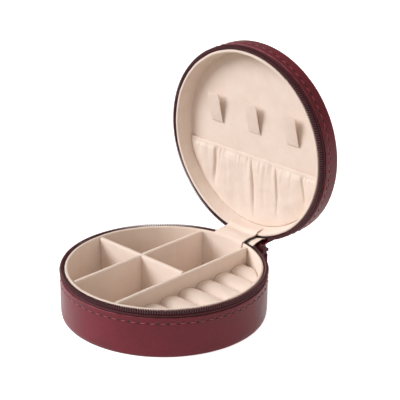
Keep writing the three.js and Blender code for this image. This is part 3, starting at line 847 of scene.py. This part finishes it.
def buildPocket():
    seamRadius = innerRadius - pocket["seamInset"]
    half = math.sqrt(seamRadius ** 2 - pocket["top"] ** 2) - 0.3 * mm
    across, down = pocket["columns"], pocket["rows"]
    rows = []
    for i in range(across + 1):
        x = -half + 2 * half * i / across
        end = math.sqrt(seamRadius ** 2 - x * x)
        row = []
        for j in range(down + 1):
            t = j / down
            y = pocket["top"] + (end - pocket["top"]) * t
            off = pocketDepth(x / mm, t, end - pocket["top"])
            if y < pocket["top"] + pocket["casing"]:   # ruffled casing over the elastic
                inside = (y - pocket["top"]) / pocket["casing"]
                casing = pocket["casingRise"] + pocket["casingPuff"] * math.sin(math.pi * inside)
                casing *= min(1.0, (end - pocket["top"]) / (6 * mm) + 0.3)
                off = casing + (off - casing) * inside ** 3
            row.append(openTurn @ Vector((x, y, panelZ - pocket["backGap"] - max(pocket["leastGap"], off))))
        rows.append(row)
    cloth = gridMesh("lidPocket", rows, lambda i, j: (i / across * 2 * half, j / down * 40 * mm))
    finishMesh(cloth, 80)
    relief(cloth, pocket["uneven"], pocket["unevenSize"], 8.8, 2)
    wall = cloth.modifiers.new("cloth", "SOLIDIFY")
    wall.thickness, wall.offset = pocket["thick"], 0
    applied(cloth)
    cloth.data.shade_smooth()
    place(cloth, "lid", "lining", pocketCloth, "lid_pocket")

    # elastic inside the casing
    y = pocket["top"] + pocket["casing"] / 2
    reach = half - elastic["endGap"]
    section = rounded(rectangle(-elastic["half"], elastic["half"], -elastic["halfThick"], elastic["halfThick"]),
                      0.25 * mm, 3)
    rows = []
    for i in range(elastic["columns"] + 1):
        x = -reach + 2 * reach * i / elastic["columns"]
        rows.append([openTurn @ Vector((x, y + a, panelZ - elastic["stand"] - b)) for a, b in section])
    band = gridMesh("pocketElastic", rows, lambda i, j: (i * mm, j * mm), wrapV=True, caps=True)
    finishMesh(band)
    place(band, "lid", "elastic", creamThread, "pocket_elastic")


hook = dict(width=8.6 * mm, length=18 * mm, stand=4.0 * mm, thick=0.6 * mm, foot=-4.6 * mm,
            rise=1.05 * mm, columns=24, uneven=0.06 * mm, unevenSize=5 * mm,
            threadLength=1.4 * mm, threadRadius=0.17 * mm, stitches=5, seamColumns=12,
            seamGap=0.25 * mm, seamRise=0.95 * mm)


def buildHooks():
    columns = hook["seamColumns"]
    facing = openTurn.to_3x3() @ Vector((0, 0, -1))
    for k in (1, 2, 3):
        low, high = closedBox(f"hook_tab_{k}")
        centre = (low.x + high.x) / 2
        halfWide, halfThick = hook["width"] / 2, hook["thick"] / 2
        section = rounded(rectangle(-halfWide, halfWide, -halfThick, halfThick), 0.28 * mm, 5)
        steps = hook["columns"]
        rows = []
        for i in range(steps + 1):
            t = i / steps
            narrow = 1 - 0.10 * max(0, (t - 0.86) / 0.14) ** 2
            flatten = 1 - 0.5 * max(0, (t - 0.9) / 0.1) ** 2
            off = panelZ - hook["rise"] - hook["stand"] * (t ** 0.85)
            y = hook["foot"] - t * hook["length"]
            rows.append([openTurn @ Vector((centre + a * narrow, y, off + b * flatten)) for a, b in section])
        tab = gridMesh(f"hookTab{k}", rows, lambda i, j: (i * mm, j * mm), wrapV=True, caps=True)
        finishMesh(tab, 60)
        relief(tab, hook["uneven"], hook["unevenSize"], k * 2.2, 2)
        place(tab, "lid", "lining", lining, f"hook_tab_{k}")
        # stitches where the tab is sewn through the panel
        foot = [openTurn @ Vector((centre - hook["width"] / 2 + hook["width"] * i / columns,
                                   hook["foot"] + hook["seamGap"], panelZ - hook["seamRise"]))
                for i in range(columns + 1)]
        stitch = threadShape(hook["threadLength"], hook["threadRadius"])
        row = repeatAlong(f"hookStitches{k}", foot, [facing] * len(foot), False, stitch, hook["stitches"],
                          creamThread, wobble=0.06, seed=k)
        place(row, "lid", "lining", creamThread)
        bpy.data.objects.remove(stitch)
    print("lid fittings made")


# hinge
fold = dict(strap=(-13.5 * mm, 19 * mm), strapThick=0.9 * mm, backThick=0.35 * mm,
            strip=(-11.2 * mm, 10.8 * mm), stripThick=0.6 * mm,
            tapeEnd=(10.3 * mm, 11.9 * mm), tapeThick=0.5 * mm, tapeDrop=0.7 * mm,
            strapOut=0.65 * mm, backIn=1.2 * mm, backBend=(-1.8 * mm, 3.5 * mm))


def smoothPath(points, count):
    # evenly spaced places on a soft curve through the points (y, z)
    chain = [Vector(p) for p in points]
    fine = []
    for k in range(len(chain) - 1):
        a = chain[max(0, k - 1)]
        b, c = chain[k], chain[k + 1]
        d = chain[min(len(chain) - 1, k + 2)]
        for s in range(16):
            t = s / 16
            fine.append(0.5 * ((2 * b) + (c - a) * t + (2 * a - 5 * b + 4 * c - d) * t * t
                               + (3 * b - a - 3 * c + d) * t ** 3))
    fine.append(chain[-1])
    lengths = [0]
    for p, q in zip(fine, fine[1:]):
        lengths.append(lengths[-1] + (q - p).length)
    out = []
    for i in range(count + 1):
        want = lengths[-1] * i / count
        k = max(j for j in range(len(fine)) if lengths[j] <= want + 1e-12)
        k = min(k, len(fine) - 2)
        t = (want - lengths[k]) / max(1e-12, lengths[k + 1] - lengths[k])
        out.append(fine[k].lerp(fine[k + 1], t))
    return out, lengths[-1]


def bentBand(name, path, sides, thick, baseRadius, lidRadius, across=40, count=64, bend=(-2 * mm, 6 * mm)):
    # a band across the hinge; away from its middle it bows with the round walls it is glued to
    line, length = smoothPath(path, count)
    rows = []
    for i, p in enumerate(line):
        row = []
        onLid = min(1.0, max(0.0, (p.x - pivot.y - bend[0]) / (bend[1] - bend[0])))
        for j in range(across + 1):
            x = sides[1] + (sides[0] - sides[1]) * j / across
            bowBase = baseRadius - math.sqrt(baseRadius ** 2 - x * x)
            bowLid = lidRadius - math.sqrt(lidRadius ** 2 - x * x)
            row.append(Vector((x, p.x - bowBase * (1 - onLid), p.y + bowLid * onLid)))
        rows.append(row)
    band = gridMesh(name, rows, lambda i, j: (j / across * (sides[1] - sides[0]), i / count * length))
    finishMesh(band, 80)
    wall = band.modifiers.new("wall", "SOLIDIFY")
    wall.thickness, wall.offset = thick, 0
    bevel = band.modifiers.new("edge", "BEVEL")
    bevel.width, bevel.segments, bevel.limit_method = thick * 0.3, 2, "ANGLE"
    applied(band)
    band.data.shade_smooth()
    band.data.set_sharp_from_angle(angle=math.radians(60))
    return band, length


def buildHinge():
    def onLid(y, z):   # closed place of a point in the hinge's middle plane, opened
        p = openTurn @ Vector((0, y, z))
        return (p.y, p.z)
    outside = caseRadius + fold["strapOut"]
    path = [(outside, 14 * mm), (outside, 18 * mm), (outside, leatherTop - 1.2 * mm),
            (pivot.y + 1.5 * mm, pivot.z + 0.7 * mm), onLid(outside + 0.2 * mm, lidLeatherLow - 1.5 * mm),
            onLid(outside, lidLeatherLow + 2 * mm), onLid(outside, lidLeatherLow + 7.5 * mm)]
    strap = bentBand("hingeStrap", path, fold["strap"], fold["strapThick"], outside, outside)[0]
    place(strap, None, "leather", leather, "hinge_strap")
    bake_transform(strap)

    inside = caseRadius - fold["backIn"]
    backing = [(inside + 0.6 * mm, leatherTop + 0.3 * mm), (inside, baseRim - 1.4 * mm),
               (inside + 2.1 * mm, baseRim - 0.5 * mm), (pivot.y + 3 * mm, baseRim - 1.2 * mm),
               onLid(inside, lidRim + 1.2 * mm), onLid(inside + 0.6 * mm, lidLeatherLow)]
    sides = (fold["strap"][0] + 2 * mm, fold["strap"][1] - 2.2 * mm)
    lined, length = bentBand("hingeBacking", backing, sides, fold["backThick"], outside, outside, count=30,
                             bend=fold["backBend"])
    place(lined, None, "lining", lining)
    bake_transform(lined)

    inner = innerRadius + 0.1 * mm

    def lidFloor(depth, lift=0.0):
        return onLid(inner - lift, lidRim + depth)
    strip = [(inner, floorTop + 1 * mm), (inner, 25 * mm), (inner + 0.6 * mm, baseRim - 0.2 * mm),
             (inner + 2.6 * mm, baseRim + 0.55 * mm), (pivot.y - 1 * mm, baseRim + 1.0 * mm),
             lidFloor(-1.6 * mm, -1.3 * mm), lidFloor(1.2 * mm, 0.1 * mm), lidFloor(5 * mm, 0.1 * mm),
             lidFloor(9.5 * mm, 0.0)]
    cloth, length = bentBand("hingeLining", strip, fold["strip"], fold["stripThick"], inner, inner)
    place(cloth, None, "lining", lining, "hinge_lining_strip")
    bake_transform(cloth)

    # end of the zip tape, which runs on under the edge of the lining strip
    under = [(y, z - fold["tapeDrop"]) for y, z in strip[3:6]]
    tapeEnd = bentBand("zipTapeEnd", under, fold["tapeEnd"], fold["tapeThick"], inner, inner, across=6,
                       count=24)[0]
    place(tapeEnd, None, "zip_tape", cordCloth)
    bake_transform(tapeEnd)
    print("hinge made")


# slider and pull
def buildSlider():
    for nodeName, name, body, width in (("slider_body", "sliderBody", "slider", 0.25 * mm),
                                        ("slider_pull", "sliderPull", "pull", 0.3 * mm)):
        place(bevelledNode(nodeName, name, width), body, "zip_metal", enamel, nodeName)
    print("slider made")


def finishHidden():
    # the boards and the padding stay as the frame has them
    for name in ("base_side_board", "base_bottom_board", "lid_side_board", "lid_top_board", "lid_top_padding"):
        data = frame["nodes"][name].data
        data.materials.clear()
        data.materials.append(wadding if name == "lid_top_padding" else greyBoard)


# studio
studio = dict(floorColour=(0.92, 0.92, 0.92, 1), floorGlow=0.86, world=0.45, worldTint=(1.0, 0.885, 0.775, 1),
              key=2.95, keySoft=34, keyFrom=(-0.70, -0.92, 0.72),
              keyTint=(0.95, 0.97, 1.0), fill=0.42, fillSoft=60, fillFrom=(0.9, -0.45, 0.28))


def buildStudio():
    scene = bpy.context.scene
    scene.view_settings.view_transform = "Standard"
    bm = bmesh.new()
    bmesh.ops.create_grid(bm, x_segments=1, y_segments=1, size=6)
    mesh = bpy.data.meshes.new("floor")
    bm.to_mesh(mesh)
    bm.free()
    mesh.transform(Matrix.Translation((0, 0, -0.05 * mm)))
    floor = link("floor", mesh)
    material, tree, principled = newMaterial("pale_floor", Roughness=1.0, Specular_IOR_Level=0.0,
                                             Emission_Strength=studio["floorGlow"])
    principled.inputs["Base Color"].default_value = studio["floorColour"]
    principled.inputs["Emission Color"].default_value = studio["floorColour"]
    mesh.materials.append(material)
    floor.visible_diffuse = False    # the table glows for the camera only, as a lit sweep does
    world = bpy.data.worlds.new("studio")
    scene.world = world
    world.use_nodes = True
    background = world.node_tree.nodes["Background"]
    background.inputs["Color"].default_value = studio["worldTint"]
    background.inputs["Strength"].default_value = studio["world"]
    for name in ("key", "fill"):
        light = bpy.data.lights.new(name, "SUN")
        light.energy, light.angle = studio[name], math.radians(studio[name + "Soft"])
        light.color = studio["keyTint"]
        lamp = bpy.data.objects.new(name, light)
        scene.collection.objects.link(lamp)
        lamp.rotation_mode = "QUATERNION"
        lamp.rotation_quaternion = Vector(studio[name + "From"]).to_track_quat("Z", "Y")


view = dict(azimuth=44.0, elevation=22.5, distance=850 * mm, lens=139.6, roll=0.61,
            centre=(0, 0, 50 * mm), right=19.47 * mm, up=15.40 * mm, sensor=36, near=0.05, far=50)


def buildCamera():
    data = bpy.data.cameras.new("camera")
    data.lens, data.sensor_width = view["lens"], view["sensor"]
    camera = bpy.data.objects.new("camera", data)
    bpy.context.scene.collection.objects.link(camera)
    a, e = math.radians(view["azimuth"]), math.radians(view["elevation"])
    back = Vector((math.sin(a) * math.cos(e), -math.cos(a) * math.cos(e), math.sin(e)))
    right = Vector((math.cos(a), math.sin(a), 0))
    up = back.cross(right)
    camera.location = Vector(view["centre"]) + right * view["right"] + up * view["up"] + back * view["distance"]
    frameTurn = Matrix((right, up, back)).transposed().to_quaternion()
    camera.rotation_mode = "QUATERNION"
    camera.rotation_quaternion = frameTurn @ Matrix.Rotation(math.radians(view["roll"]), 3, "Z").to_quaternion()
    data.clip_start, data.clip_end = view["near"], view["far"]
    bpy.context.scene.camera = camera


buildCamera()
buildShells()
buildZip()
buildLinings()
buildDividers()
buildRolls()
buildPocket()
buildHooks()
buildHinge()
buildSlider()
finishHidden()
buildStudio()

print("scene ready")
